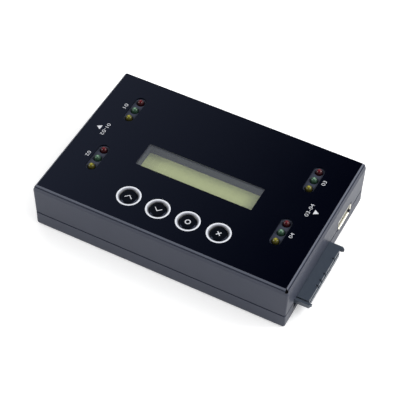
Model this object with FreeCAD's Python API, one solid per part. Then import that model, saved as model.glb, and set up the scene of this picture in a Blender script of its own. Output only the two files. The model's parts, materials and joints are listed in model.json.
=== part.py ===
# Stand-alone drive duplicator: a two-part moulded case with a glossy top panel,
# a character display, four keys, four groups of status lights, and a USB and a
# 22-way drive socket on each side.
# Millimetres. +X is the target side (right), +Y the back, +Z up.
# Origin: centre of the case on the surface that the rubber feet stand on.
import FreeCAD
import Part
import math
import os

V = FreeCAD.Vector
os.makedirs("parts", exist_ok=True)

# ---------------------------------------------------------------- case size
CASE_LENGTH = 124.4          # X, over the side walls
CASE_WIDTH = 82.4            # Y, over the front and back walls
CASE_TOP = 25.4              # Z of the panel's face
FOOT_STAND = 0.35            # how far the feet hold the case off the table
WALL = 2.0
CORNER_R = 1.0               # upright corners
END_LEAN = 0.028             # end walls lean in this much per mm from shoulder to seam
BOTTOM_EDGE_R = 0.9
SEAM_Z = 8.1                 # middle of the groove between the two halves
SEAM_GROOVE_HEIGHT = 0.8
SEAM_GROOVE_DEPTH = 0.4
LIP_HEIGHT = 1.2             # locating lip inside the seam
LIP_THICKNESS = 0.6
LIP_CLEARANCE = 0.1

# shoulder between the side walls and the panel: (inset x, inset y, drop)
SHOULDER_LOW = (0.0, 0.0, 3.0)
SHOULDER_MID = (0.65, 0.3, 1.2)
SHOULDER_TOP = (1.6, 1.25, 0.0)
SHADOW_LINE_LOW = 24.2       # the fine groove that frames the panel
SHADOW_LINE_HIGH = 24.7
SHADOW_LINE_DEPTH = 0.25
NOTCH_LENGTH = 1.7           # release notch through the shoulder's front right corner
NOTCH_REACH = 1.4
NOTCH_LOW = 23.8

# ---------------------------------------------------------------- top panel
PANEL_RIM = 0.05             # case rim left between the shoulder and the panel's seat
PANEL_GAP = 0.05             # round the panel in its seat
PANEL_THICKNESS = 0.8
PANEL_CORNER_R = 0.6
TOP_WALL = 2.0               # case wall under the panel

WINDOW_X = 0.1               # display window
WINDOW_Y = -1.55
WINDOW_LENGTH = 57.6
WINDOW_WIDTH = 13.5
WINDOW_CORNER_R = 0.5
PANE_LEDGE = 0.4             # the case rim that the clear pane sits on
PANE_SINK = 0.05             # pane face below the panel face
COLLAR_WALL = 1.2
COLLAR_GAP = 0.35            # collar's end above the display glass
DISPLAY_DEPTH = 5.4          # panel face to display glass

# ---------------------------------------------------------------- keys
KEY_PITCH = 14.7
KEY_ROW_X = 0.25
KEY_ROW_Y = -26.65
KEY_ROW_ARC = 0.25           # the outer pair sits this far back, the inner pair forward
KEY_NAMES = ("up", "down", "ok", "cancel")
KEY_TRAVEL = 0.3
RING_R = 5.6
RING_CREST_IN_R = 4.95
RING_THROAT_R = 4.3          # where the inner slope steepens
RING_THROAT_DROP = 0.45
RING_BORE_DROP = 0.75
RING_BORE_R = 3.95
RING_SLEEVE_R = 5.0
RING_PROUD = 0.1
CAP_R = 3.85                 # 0.1 mm running clearance in the ring
CAP_FACE_DROP = 0.45         # cap face below the panel face
CAP_FLANGE_R = 4.8
SWITCH_SIZE = 6.0
SWITCH_HEIGHT = 3.5
PLUNGER_R = 1.7
PLUNGER_BORE_R = 1.8
PLUNGER_PROUD = 0.8
PLUNGER_DEPTH = 1.0          # part of the plunger inside the switch
PLUNGER_END_GAP = 0.2        # room left under the plunger at full travel
SWITCH_PIN_X = 2.6
SWITCH_PIN_Y = 2.25
SWITCH_PIN_SIZE = 0.6
LEAD_END = 0.8               # leads and pins stand this far out under their board

# ---------------------------------------------------------------- status lights
LIGHT_CLEARANCE = 5.4        # middle of each lamp group from the display board's end
LIGHT_BACK_Y = 20.8
LIGHT_FRONT_Y = -13.0
LIGHT_PITCH = 5.5
LIGHT_SLOT_WIDTH = 5.3
LED_R = 1.5
LED_FLANGE_R = 1.9
LED_FLANGE_HEIGHT = 0.9
LED_HOLE_R = 1.75
LED_HOLE_CHAMFER = 0.45
LED_DOME_DROP = 0.6          # dome centre below the panel face, so the dome stands proud
LED_DOME_HEIGHT = 3.8        # collar's underside to dome centre
LED_LEG_X = 1.27
LED_LEG_SIZE = 0.5
LED_COLOURS = ("red", "green", "yellow")     # back to front

# ---------------------------------------------------------------- boards
MAIN_BOARD_TOP = 7.4
BOARD_THICKNESS = 1.6
BOARD_EDGE_GAP = 1.0
CUTOUT_GAP = 0.5             # round what passes through a board
PANEL_BOARD_TOP = 16.6
DISPLAY_BOARD_LENGTH = 80.0
DISPLAY_BOARD_WIDTH = 36.0
DISPLAY_BOARD_TOP = 12.3
BEZEL_LENGTH = 71.2
BEZEL_WIDTH = 25.2
BEZEL_WALL = 0.5
BEZEL_PROUD = 0.3            # frame's face above the glass
VIEW_LENGTH = 64.5           # opening in the display's metal frame
VIEW_WIDTH = 16.4
DISPLAY_HOLE_INSET = 2.5     # fixing holes from the display board's edges
HEADER_WAYS = 16
HEADER_PITCH = 2.54
HEADER_FROM_EDGE = 2.6
GLASS_THICKNESS = 1.1

LINK_LENGTH = 26.0
LINK_WIDTH = 3.0
LINK_INSET_X = 16.2          # its left end from the case's left side
LINK_INSET_Y = 15.2          # its middle from the case's front
CHIP_SIZE = 14.0
CHIP_HEIGHT = 1.3
CHIP_X = 15.0
CHIP_INSET = 14.2            # its middle from the case's back
CAPACITOR_R = 3.15
CAPACITOR_HEIGHT = 6.8
CAPACITOR_X = -32.0
CAPACITOR_INSET = 15.2

# ---------------------------------------------------------------- sockets
USB_Y = 19.9
USB_WIDTH = 13.1
USB_HEIGHT = 5.7
USB_DEPTH = 14.0
USB_SHEET = 0.35
USB_LIP = 0.45               # how far the lips flare out
USB_LIP_LENGTH = 1.0
USB_LIP_CORNER = 1.1         # lips stop this far short of the shell's corners
USB_PROUD = 0.2              # shell's front edge past the wall's face
USB_BACK = 2.5               # shell's closed back
USB_ROOT = 2.5               # insulator block behind the tongue
USB_TONGUE_SINK = 0.6        # tongue's tip behind the shell's front
USB_TONGUE_WIDTH = 11.2
USB_TONGUE_THICKNESS = 1.85
USB_TONGUE_TOP_GAP = 0.45
USB_CONTACT_Y = (-3.5, -1.0, 1.0, 3.5)
USB_CONTACT_WIDTH = 1.0
USB_CONTACT_THICKNESS = 0.2
DRIVE_Y = -13.7
SOURCE_DRIVE_Y = -11.5
DRIVE_WIDTH = 36.2           # over the guide arms
DRIVE_HEIGHT = 5.0
DRIVE_TOP = 9.4
DRIVE_DEPTH = 11.0           # body, front to back
DRIVE_PROUD = 5.4            # body past the shoulder
DRIVE_NOTCHES = (10.1, 0.6, -3.5, -6.8)  # mould notches on the top front edge, from the middle
DRIVE_NOTCH_WIDTH = 0.9
DRIVE_NOTCH_DEPTH = 1.1
DRIVE_NOTCH_DROP = 1.4       # cuts through into the slot below
ARM_THICKNESS = 1.3
ARM_GAP = 0.7                # slit between each arm and the body
ARM_REACH = 1.8              # arms past the body
ARM_HEIGHT = 2.2
ARM_TAPER = 1.1
ARM_BEVEL = 0.9              # off the lower edge of each arm's tip
ARM_WEB = 4.6                # arms join the body over this length at the back
ARM_COVER = 0.9              # plate over one arm's slit
SIGNAL_SLOT = 10.3
POWER_SLOT = 20.3
SLOT_WEB = 0.8               # between the two slots
SLOT_END_WALL = 0.4
SLOT_DEPTH = 5.2
SLOT_HEIGHT = 1.6
SLOT_FROM_LOW = 2.2          # slot's underside above the body's underside
SLOT_KEY_WIDTH = 1.2         # short leg of each L
SLOT_KEY_DROP = 1.2
CONTACT_PITCH = 1.27
CONTACT_WIDTH = 0.6
CONTACT_THICKNESS = 0.3
CONTACT_GAP = 0.1            # above and below each contact in its channel
CONTACT_SINK = 0.6           # contacts' tips behind the body's front
CONTACT_FROM_END = 0.9       # first contact from its slot's end
TAIL_LENGTH = 1.7
SIGNAL_COUNT = 7
POWER_COUNT = 15
DRIVE_GAP = 0.5              # case opening round the drive socket
DRIVE_BOARD_GAP = 0.2        # board notch beside the drive socket
USB_GAP = 0.1                # case opening round the USB shell's lips

# ---------------------------------------------------------------- power inlet
INLET_X = -18.0
INLET_GAP = 0.3
INLET_SINK = 0.1             # inlet's face behind the wall's face
INLET_BACK_WALL = 1.5
INLET_WIDTH = 9.0
INLET_DEPTH = 14.0
INLET_HEIGHT = 11.0
INLET_AXIS_UP = 6.5
INLET_BORE_R = 3.15
INLET_BORE_DEPTH = 9.5
INLET_PIN_R = 1.0
INLET_PIN_SINK = 0.8         # pin's tip behind the inlet's face

# ---------------------------------------------------------------- fixings
BOSS_INSET = 6.0                 # case-screw posts from the case's outside
BOSS_R = 3.0
BOSS_HOLE_R = 1.15
BOSS_CLEAR_R = 1.3               # plain hole through the lower post
HOLE_END = 0.7                   # blind holes past their screws' tips
HEAD_GAP = 0.3                   # round a case screw's head
CASE_SCREW = (2.3, 1.8, 1.1)     # head radius, head height, shank radius
SCREW_SEAT = 3.6                 # where the case screws' heads bear
SCREW_LENGTH = 11.4
FOOT_R = 4.0
FOOT_THICKNESS = 1.4
FOOT_GAP = 0.05
FOOT_INSET_X = 14.2              # feet from the case's ends
FOOT_INSET_Y = 12.2              # and from its long sides
SMALL_SCREW = (1.9, 1.2, 0.95)
SMALL_HOLE_R = 1.0
PANEL_SCREW_LENGTH = 6.0
DISPLAY_SCREW_LENGTH = 6.8
MAIN_SCREW_LENGTH = 4.5
PANEL_BOSS_X = 33.0
PANEL_BOSS_INSET = 8.7           # panel board's bosses from the long sides
PANEL_BOSS_R = 2.4
BOARD_POST_X = 42.0
BOARD_POST_INSET = 7.4           # main board's posts from the long sides
BOARD_POST_R = 2.6

# ---------------------------------------------------------------- derived
LIGHT_X = DISPLAY_BOARD_LENGTH / 2 + LIGHT_CLEARANCE
HALF_L = CASE_LENGTH / 2
HALF_W = CASE_WIDTH / 2
SEAT_LENGTH = CASE_LENGTH - 2 * (SHOULDER_TOP[0] + PANEL_RIM)
SEAT_WIDTH = CASE_WIDTH - 2 * (SHOULDER_TOP[1] + PANEL_RIM)
DRIVE_FRONT = HALF_L + DRIVE_PROUD
DRIVE_BACK = DRIVE_FRONT - DRIVE_DEPTH
DRIVE_LOW = DRIVE_TOP - DRIVE_HEIGHT
DRIVE_CORE = DRIVE_WIDTH - 2 * (ARM_THICKNESS + ARM_GAP)
DRIVE_TURN_Y = (DRIVE_Y + SOURCE_DRIVE_Y) / 2    # turning here puts the source socket in place
SLOT_LOW = DRIVE_LOW + SLOT_FROM_LOW
SLOT_HIGH = SLOT_LOW + SLOT_HEIGHT
CONTACT_LOW = SLOT_HIGH - 0.2
BOSS_X = HALF_L - BOSS_INSET
BOSS_Y = HALF_W - BOSS_INSET
CASE_BOTTOM = FOOT_STAND
WALL_TOP = CASE_TOP - SHOULDER_LOW[2]
PANEL_BASE = CASE_TOP - PANEL_THICKNESS
TOP_WALL_UNDER = PANEL_BASE - TOP_WALL
DISPLAY_FACE = CASE_TOP - DISPLAY_DEPTH
MAIN_BOARD_UNDER = MAIN_BOARD_TOP - BOARD_THICKNESS
PANEL_BOARD_UNDER = PANEL_BOARD_TOP - BOARD_THICKNESS
DISPLAY_BOARD_UNDER = DISPLAY_BOARD_TOP - BOARD_THICKNESS
SEAM_LOW = SEAM_Z - SEAM_GROOVE_HEIGHT / 2
SEAM_HIGH = SEAM_Z + SEAM_GROOVE_HEIGHT / 2
SEAM_LENGTH = CASE_LENGTH - 2 * END_LEAN * (WALL_TOP - SEAM_HIGH)
USB_FRONT = SEAM_LENGTH / 2 + USB_PROUD
INNER_L = CASE_LENGTH - 2 * WALL
INNER_W = CASE_WIDTH - 2 * WALL
LIGHT_GROUPS = {
    "source_usb": (-LIGHT_X, LIGHT_BACK_Y),
    "source_drive": (-LIGHT_X, LIGHT_FRONT_Y),
    "target_usb": (LIGHT_X, LIGHT_BACK_Y),
    "target_drive": (LIGHT_X, LIGHT_FRONT_Y),
}


# ---------------------------------------------------------------- shape helpers
def block(x0, x1, y0, y1, z0, z1):
    return Part.makeBox(x1 - x0, y1 - y0, z1 - z0, V(x0, y0, z0))


def disc(x, y, z0, z1, r):
    return Part.makeCylinder(r, z1 - z0, V(x, y, z0))


def square_bar(x, y, z0, z1, size):
    """Upright square bar centred on x, y."""
    half = size / 2
    return block(x - half, x + half, y - half, y + half, z0, z1)


def four_corners(x, y):
    """The four points at plus and minus x, y."""
    return [(sx * x, sy * y) for sx in (1, -1) for sy in (1, -1)]


def panel_boss_points():
    return four_corners(PANEL_BOSS_X, HALF_W - PANEL_BOSS_INSET)


def board_post_points():
    return four_corners(BOARD_POST_X, HALF_W - BOARD_POST_INSET)


def foot_points():
    return four_corners(HALF_L - FOOT_INSET_X, HALF_W - FOOT_INSET_Y)


def display_posts():
    """Centres of the display board's fixing holes."""
    x = DISPLAY_BOARD_LENGTH / 2 - DISPLAY_HOLE_INSET
    y = DISPLAY_BOARD_WIDTH / 2 - DISPLAY_HOLE_INSET
    return [(WINDOW_X + px, WINDOW_Y + py) for px, py in four_corners(x, y)]


def rounded_wire(length, width, r, z, cx=0.0, cy=0.0):
    """Closed rounded-rectangle wire, centred on cx, cy at height z."""
    hx = length / 2
    hy = width / 2
    corners = (
        (cx + hx - r, cy + hy - r, 0),
        (cx - hx + r, cy + hy - r, 90),
        (cx - hx + r, cy - hy + r, 180),
        (cx + hx - r, cy - hy + r, 270),
    )
    edges = []
    last = None
    first = None
    for px, py, start in corners:
        a0 = math.radians(start)
        am = math.radians(start + 45)
        a1 = math.radians(start + 90)
        p0 = V(px + r * math.cos(a0), py + r * math.sin(a0), z)
        pm = V(px + r * math.cos(am), py + r * math.sin(am), z)
        p1 = V(px + r * math.cos(a1), py + r * math.sin(a1), z)
        if last is not None:
            edges.append(Part.makeLine(last, p0))
        else:
            first = p0
        edges.append(Part.Arc(p0, pm, p1).toShape())
        last = p1
    edges.append(Part.makeLine(last, first))
    return Part.Wire(edges)


def rounded_block(length, width, r, z0, z1, cx=0.0, cy=0.0):
    face = Part.Face(rounded_wire(length, width, r, z0, cx, cy))
    return face.extrude(V(0, 0, z1 - z0))


def rounded_ring(outer, inner, z0, z1):
    """Wall between two (length, width, radius) outlines."""
    hollow = rounded_block(*inner, z0 - 1, z1 + 1)
    return rounded_block(*outer, z0, z1).cut(hollow)


def slot_block(x, y, length, width, z0, z1):
    """Upright prism with round ends, long in Y."""
    return rounded_block(width, length, width / 2 - 0.001, z0, z1, x, y)


def turned(profile, x=0.0, y=0.0):
    """Solid of revolution about the upright axis through x, y; profile is (r, z) points."""
    points = [V(r, 0, z) for r, z in profile]
    face = Part.Face(Part.makePolygon(points + [points[0]]))
    solid = face.revolve(V(0, 0, 0), V(0, 0, 1), 360)
    solid.translate(V(x, y, 0))
    return solid


def extruded_xy(points, z0, z1):
    """Prism along Z from a closed list of (x, y) points."""
    corners = [V(x, y, z0) for x, y in points]
    face = Part.Face(Part.makePolygon(corners + [corners[0]]))
    return face.extrude(V(0, 0, z1 - z0))


def extruded_xz(points, y0, y1):
    """Prism along Y from a closed list of (x, z) points."""
    corners = [V(x, y0, z) for x, z in points]
    face = Part.Face(Part.makePolygon(corners + [corners[0]]))
    return face.extrude(V(0, y1 - y0, 0))


def joined(shapes):
    """One solid from shapes that touch or overlap."""
    solid = shapes[0]
    for other in shapes[1:]:
        solid = solid.fuse(other)
    return solid.removeSplitter()


def without(shape, cutters):
    for cutter in cutters:
        shape = shape.cut(cutter)
    return shape


def turned_round(shape, y):
    """A right-hand piece turned half round about the upright axis at x = 0 and this y."""
    copy = shape.copy()
    copy.rotate(V(0, y, 0), V(0, 0, 1), 180)
    return copy


def save(name, shape):
    shape.exportStep("parts/" + name + ".step")


# ---------------------------------------------------------------- case outline
def seam_neck(z0, z1):
    """The narrower band of wall behind the seam groove."""
    inset = 2 * SEAM_GROOVE_DEPTH
    return rounded_block(SEAM_LENGTH - inset, CASE_WIDTH - inset, CORNER_R - 0.4, z0, z1)


# ---------------------------------------------------------------- case openings
def socket_openings():
    """Case openings for the sockets on both sides and the power inlet, as cutters."""
    usb = block(
        HALF_L - WALL - 1, HALF_L + 1,
        USB_Y - USB_WIDTH / 2 - USB_LIP - USB_GAP, USB_Y + USB_WIDTH / 2 + USB_LIP + USB_GAP,
        MAIN_BOARD_TOP - USB_LIP - USB_GAP, MAIN_BOARD_TOP + USB_HEIGHT + USB_LIP + USB_GAP,
    )
    drive = block(
        HALF_L - WALL - 1, HALF_L + 1,
        DRIVE_Y - DRIVE_WIDTH / 2 - DRIVE_GAP, DRIVE_Y + DRIVE_WIDTH / 2 + DRIVE_GAP,
        DRIVE_TOP - DRIVE_HEIGHT - DRIVE_GAP, DRIVE_TOP + DRIVE_GAP,
    )
    inlet = block(
        INLET_X - INLET_WIDTH / 2 - INLET_GAP, INLET_X + INLET_WIDTH / 2 + INLET_GAP,
        HALF_W - WALL - 1, HALF_W + 1,
        MAIN_BOARD_TOP - INLET_GAP, MAIN_BOARD_TOP + INLET_HEIGHT + INLET_GAP,
    )
    return [usb, drive, turned_round(usb, USB_Y), turned_round(drive, DRIVE_TURN_Y), inlet]


def lip_outline(grow):
    """Outer outline of the locating lip, grown by its clearance where asked."""
    span = 2 * (LIP_THICKNESS + grow)
    return (INNER_L + span, INNER_W + span, 1.0 + LIP_THICKNESS)


# ---------------------------------------------------------------- upper half
def upper_shell():
    outlines = [
        rounded_wire(SEAM_LENGTH, CASE_WIDTH, CORNER_R, SEAM_HIGH),
        rounded_wire(CASE_LENGTH, CASE_WIDTH, CORNER_R, WALL_TOP),
    ]
    walls = Part.makeLoft(outlines, True, True)
    sections = []
    for inset_x, inset_y, drop in (SHOULDER_LOW, SHOULDER_MID, SHOULDER_TOP):
        length = CASE_LENGTH - 2 * inset_x
        width = CASE_WIDTH - 2 * inset_y
        sections.append(rounded_wire(length, width, CORNER_R - 0.4 * inset_x, CASE_TOP - drop))
    shoulder = Part.makeLoft(sections, True, True)
    shell = joined([walls, shoulder, seam_neck(SEAM_Z, SEAM_HIGH)])

    cavity = rounded_block(INNER_L, INNER_W, 1.0, SEAM_Z - 1, TOP_WALL_UNDER)
    lip_room = rounded_block(*lip_outline(LIP_CLEARANCE), SEAM_Z - 1, SEAM_Z + LIP_HEIGHT + LIP_CLEARANCE)
    panel_seat = rounded_block(SEAT_LENGTH, SEAT_WIDTH, PANEL_CORNER_R, PANEL_BASE, CASE_TOP + 1)
    line_inset = 2 * (SHOULDER_MID[0] + 0.25 + SHADOW_LINE_DEPTH)
    line_core = (CASE_LENGTH - line_inset, CASE_WIDTH - line_inset + 0.7, 0.9)
    shadow_line = rounded_ring(
        (CASE_LENGTH + 2, CASE_WIDTH + 2, CORNER_R), line_core, SHADOW_LINE_LOW, SHADOW_LINE_HIGH
    )
    release_notch = block(
        HALF_L - NOTCH_LENGTH, HALF_L + 1, -HALF_W - 1, -HALF_W + NOTCH_REACH, NOTCH_LOW, CASE_TOP + 1
    )
    shell = without(shell, [cavity, lip_room, panel_seat, shadow_line, release_notch])

    # collar that hides the display's metal frame
    well_length = WINDOW_LENGTH - 2 * PANE_LEDGE
    well_width = WINDOW_WIDTH - 2 * PANE_LEDGE
    collar = rounded_block(
        well_length + 2 * COLLAR_WALL, well_width + 2 * COLLAR_WALL, 1.2,
        DISPLAY_FACE + COLLAR_GAP, TOP_WALL_UNDER + 0.5, WINDOW_X, WINDOW_Y,
    )
    bosses = []
    for x, y in four_corners(BOSS_X, BOSS_Y):
        bosses.append(disc(x, y, SEAM_Z, TOP_WALL_UNDER + 0.5, BOSS_R))
    for x, y in panel_boss_points():
        bosses.append(disc(x, y, PANEL_BOARD_TOP, TOP_WALL_UNDER + 0.5, PANEL_BOSS_R))
    for x, y in display_posts():
        bosses.append(disc(x, y, DISPLAY_BOARD_TOP, TOP_WALL_UNDER + 0.5, PANEL_BOSS_R))
    shell = joined([shell, collar] + bosses)

    cutters = [
        rounded_block(
            well_length, well_width, WINDOW_CORNER_R,
            DISPLAY_FACE - 1, CASE_TOP, WINDOW_X, WINDOW_Y,
        )
    ]
    for x, y in key_points():
        cutters.append(disc(x, y, TOP_WALL_UNDER - 1, CASE_TOP, RING_SLEEVE_R + 0.02))
    for x, y in led_points():
        cutters.append(disc(x, y, TOP_WALL_UNDER - 1, CASE_TOP, LED_HOLE_R))
        rim = [
            (0, PANEL_BASE - LED_HOLE_CHAMFER), (LED_HOLE_R, PANEL_BASE - LED_HOLE_CHAMFER),
            (LED_HOLE_R + LED_HOLE_CHAMFER, PANEL_BASE), (0, PANEL_BASE),
        ]
        cutters.append(turned(rim, x, y))
    for x, y in four_corners(BOSS_X, BOSS_Y):
        cutters.append(disc(x, y, SEAM_Z - 1, SCREW_SEAT + SCREW_LENGTH + HOLE_END, BOSS_HOLE_R))
    panel_hole_end = PANEL_BOARD_UNDER + PANEL_SCREW_LENGTH + HOLE_END
    for x, y in panel_boss_points():
        cutters.append(disc(x, y, PANEL_BOARD_TOP - 1, panel_hole_end, SMALL_HOLE_R))
    display_hole_end = DISPLAY_BOARD_UNDER + DISPLAY_SCREW_LENGTH + HOLE_END
    for x, y in display_posts():
        cutters.append(disc(x, y, DISPLAY_BOARD_TOP - 1, display_hole_end, SMALL_HOLE_R))
    return without(shell, cutters + socket_openings())


# ---------------------------------------------------------------- lower half
def lower_shell():
    body = rounded_block(SEAM_LENGTH, CASE_WIDTH, CORNER_R, CASE_BOTTOM, SEAM_LOW)
    bottom_edges = [e for e in body.Edges if abs(e.BoundBox.ZMax - CASE_BOTTOM) < 0.001]
    body = body.makeFillet(BOTTOM_EDGE_R, bottom_edges)
    lip = rounded_block(*lip_outline(0.0), SEAM_Z, SEAM_Z + LIP_HEIGHT)
    body = joined([body, seam_neck(SEAM_LOW, SEAM_Z), lip])
    floor_top = CASE_BOTTOM + WALL
    body = body.cut(rounded_block(INNER_L, INNER_W, 1.0, floor_top, CASE_TOP))

    posts = []
    for x, y in four_corners(BOSS_X, BOSS_Y):
        posts.append(disc(x, y, floor_top - 0.5, SEAM_Z, BOSS_R))
    for x, y in board_post_points():
        posts.append(disc(x, y, floor_top - 0.5, MAIN_BOARD_UNDER, BOARD_POST_R))
    body = joined([body] + posts)

    cutters = []
    for x, y in four_corners(BOSS_X, BOSS_Y):
        cutters.append(disc(x, y, CASE_BOTTOM - 1, SEAM_Z + 1, BOSS_CLEAR_R))
        cutters.append(disc(x, y, CASE_BOTTOM - 1, SCREW_SEAT, CASE_SCREW[0] + HEAD_GAP))
    for x, y in foot_points():
        cutters.append(disc(x, y, CASE_BOTTOM - 1, FOOT_THICKNESS, FOOT_R + FOOT_GAP))
    for x, y in board_post_points():
        cutters.append(disc(x, y, floor_top, MAIN_BOARD_UNDER + 1, SMALL_HOLE_R))
    return without(body, cutters + socket_openings())


# ---------------------------------------------------------------- panel and window
def key_points():
    points = []
    for i in range(len(KEY_NAMES)):
        x = KEY_ROW_X + (i - 1.5) * KEY_PITCH
        outer = i in (0, len(KEY_NAMES) - 1)
        y = KEY_ROW_Y + (KEY_ROW_ARC if outer else -KEY_ROW_ARC)
        points.append((x, y))
    return points


def led_points():
    points = []
    for x, y in LIGHT_GROUPS.values():
        for step in (1, 0, -1):
            points.append((x, y + step * LIGHT_PITCH))
    return points


def front_panel():
    plate = rounded_block(
        SEAT_LENGTH - 2 * PANEL_GAP, SEAT_WIDTH - 2 * PANEL_GAP, PANEL_CORNER_R, PANEL_BASE, CASE_TOP
    )
    cutters = [
        rounded_block(
            WINDOW_LENGTH, WINDOW_WIDTH, WINDOW_CORNER_R,
            PANEL_BASE - 1, CASE_TOP + 1, WINDOW_X, WINDOW_Y,
        )
    ]
    for x, y in key_points():
        cutters.append(disc(x, y, PANEL_BASE - 1, CASE_TOP + 1, RING_R + 0.02))
    slot_length = LIGHT_SLOT_WIDTH + 2 * LIGHT_PITCH
    for x, y in LIGHT_GROUPS.values():
        cutters.append(slot_block(x, y, slot_length, LIGHT_SLOT_WIDTH, PANEL_BASE - 1, CASE_TOP + 1))
    return without(plate, cutters)


def window_pane():
    """Clear pane that fills the panel's window opening and rests on the case's rim."""
    return rounded_block(
        WINDOW_LENGTH, WINDOW_WIDTH, WINDOW_CORNER_R,
        PANEL_BASE, CASE_TOP - PANE_SINK, WINDOW_X, WINDOW_Y,
    )


# ---------------------------------------------------------------- keys
def key_ring(x, y):
    crest = CASE_TOP + RING_PROUD
    profile = [
        (RING_BORE_R, TOP_WALL_UNDER), (RING_SLEEVE_R, TOP_WALL_UNDER),
        (RING_SLEEVE_R, PANEL_BASE), (RING_R, PANEL_BASE),
        (RING_R, crest - 0.2), (RING_R - 0.08, crest - 0.06), (RING_R - 0.22, crest),
        (RING_CREST_IN_R + 0.1, crest), (RING_CREST_IN_R, crest - 0.06),
        (RING_THROAT_R, CASE_TOP - RING_THROAT_DROP), (RING_BORE_R, CASE_TOP - RING_BORE_DROP),
    ]
    return turned(profile, x, y)


def key_cap(x, y):
    face = CASE_TOP - CAP_FACE_DROP
    flange_top = TOP_WALL_UNDER - 0.1
    flange_under = flange_top - 0.9
    stem_end = PANEL_BOARD_TOP + SWITCH_HEIGHT + PLUNGER_PROUD
    profile = [
        (0, stem_end), (1.6, stem_end), (1.6, flange_under),
        (CAP_FLANGE_R, flange_under), (CAP_FLANGE_R, flange_top),
        (CAP_R, flange_top), (CAP_R, face - 0.3), (CAP_R - 0.3, face - 0.05),
        (CAP_R - 0.8, face), (0, face),
    ]
    return turned(profile, x, y)


def key_plunger(x, y):
    low = PANEL_BOARD_TOP + SWITCH_HEIGHT - PLUNGER_DEPTH
    return disc(x, y, low, PANEL_BOARD_TOP + SWITCH_HEIGHT + PLUNGER_PROUD, PLUNGER_R)


def key_switch(x, y):
    half = SWITCH_SIZE / 2
    top = PANEL_BOARD_TOP + SWITCH_HEIGHT
    body = block(x - half, x + half, y - half, y + half, PANEL_BOARD_TOP, top - 0.3)
    lid = rounded_block(SWITCH_SIZE - 0.6, SWITCH_SIZE - 0.6, 0.8, top - 0.3, top, x, y)
    pins = switch_pins(x, y, PANEL_BOARD_UNDER - LEAD_END, PANEL_BOARD_TOP)
    well_floor = top - PLUNGER_DEPTH - KEY_TRAVEL - PLUNGER_END_GAP
    well = disc(x, y, well_floor, top + 1, PLUNGER_BORE_R)
    return joined([body, lid] + pins).cut(well)


def switch_pins(x, y, z0, z1):
    """The four pins of a switch between two heights, also used to cut their holes."""
    pins = []
    for sx in (1, -1):
        for sy in (1, -1):
            pins.append(square_bar(x + sx * SWITCH_PIN_X, y + sy * SWITCH_PIN_Y, z0, z1, SWITCH_PIN_SIZE))
    return pins


# ---------------------------------------------------------------- status lights
def led(x, y):
    """Three-millimetre lamp with its collar and two legs."""
    dome_centre = CASE_TOP - LED_DOME_DROP
    collar_low = dome_centre - LED_DOME_HEIGHT
    body = disc(x, y, collar_low, dome_centre, LED_R)
    dome = Part.makeSphere(LED_R, V(x, y, dome_centre), V(0, 0, 1), 0, 90)
    collar = disc(x, y, collar_low, collar_low + LED_FLANGE_HEIGHT, LED_FLANGE_R)
    return joined([body, dome, collar] + led_legs(x, y, PANEL_BOARD_UNDER - LEAD_END, collar_low))


def led_legs(x, y, z0, z1):
    """The two legs of a lamp between two heights, also used to cut their holes."""
    return [square_bar(x + side * LED_LEG_X, y, z0, z1, LED_LEG_SIZE) for side in (1, -1)]


# ---------------------------------------------------------------- display
def display_bezel():
    """Folded metal frame of the display module."""
    top = DISPLAY_FACE + BEZEL_PROUD
    outer = rounded_block(BEZEL_LENGTH, BEZEL_WIDTH, 1.0, DISPLAY_BOARD_TOP, top, WINDOW_X, WINDOW_Y)
    inner = rounded_block(
        BEZEL_LENGTH - 2 * BEZEL_WALL, BEZEL_WIDTH - 2 * BEZEL_WALL, 0.6,
        DISPLAY_BOARD_TOP - 1, DISPLAY_FACE, WINDOW_X, WINDOW_Y,
    )
    view = rounded_block(VIEW_LENGTH, VIEW_WIDTH, 0.5, DISPLAY_FACE - 1, top + 1, WINDOW_X, WINDOW_Y)
    return outer.cut(inner).cut(view)


def display_glass():
    return rounded_block(
        BEZEL_LENGTH - 2 * BEZEL_WALL, BEZEL_WIDTH - 2 * BEZEL_WALL, 0.6,
        DISPLAY_FACE - GLASS_THICKNESS, DISPLAY_FACE, WINDOW_X, WINDOW_Y,
    )


def display_backlight():
    return rounded_block(
        BEZEL_LENGTH - 4, BEZEL_WIDTH - 3, 0.8,
        DISPLAY_BOARD_TOP, DISPLAY_FACE - GLASS_THICKNESS, WINDOW_X, WINDOW_Y,
    )


def display_board():
    board = rounded_block(
        DISPLAY_BOARD_LENGTH, DISPLAY_BOARD_WIDTH, 1.0,
        DISPLAY_BOARD_UNDER, DISPLAY_BOARD_TOP, WINDOW_X, WINDOW_Y,
    )
    holes = []
    for x, y in display_posts():
        holes.append(disc(x, y, DISPLAY_BOARD_UNDER - 1, DISPLAY_BOARD_TOP + 1, SMALL_HOLE_R))
    return without(board, holes)


def display_header():
    """Single-row strip between the display board and the main board."""
    y = WINDOW_Y + DISPLAY_BOARD_WIDTH / 2 - HEADER_FROM_EDGE
    half_length = HEADER_WAYS * HEADER_PITCH / 2
    half_width = HEADER_PITCH / 2
    return block(
        WINDOW_X - half_length, WINDOW_X + half_length, y - half_width, y + half_width,
        MAIN_BOARD_TOP, DISPLAY_BOARD_UNDER,
    )


# ---------------------------------------------------------------- boards
def corner_notches(z0, z1):
    """Room in a board's corners for the case-screw posts."""
    near_x = BOSS_X - BOSS_R - CUTOUT_GAP
    near_y = BOSS_Y - BOSS_R - CUTOUT_GAP
    notches = []
    for sx, sy in four_corners(1, 1):
        xs = sorted((sx * near_x, sx * HALF_L))
        ys = sorted((sy * near_y, sy * HALF_W))
        notches.append(block(xs[0], xs[1], ys[0], ys[1], z0, z1))
    return notches


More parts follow.
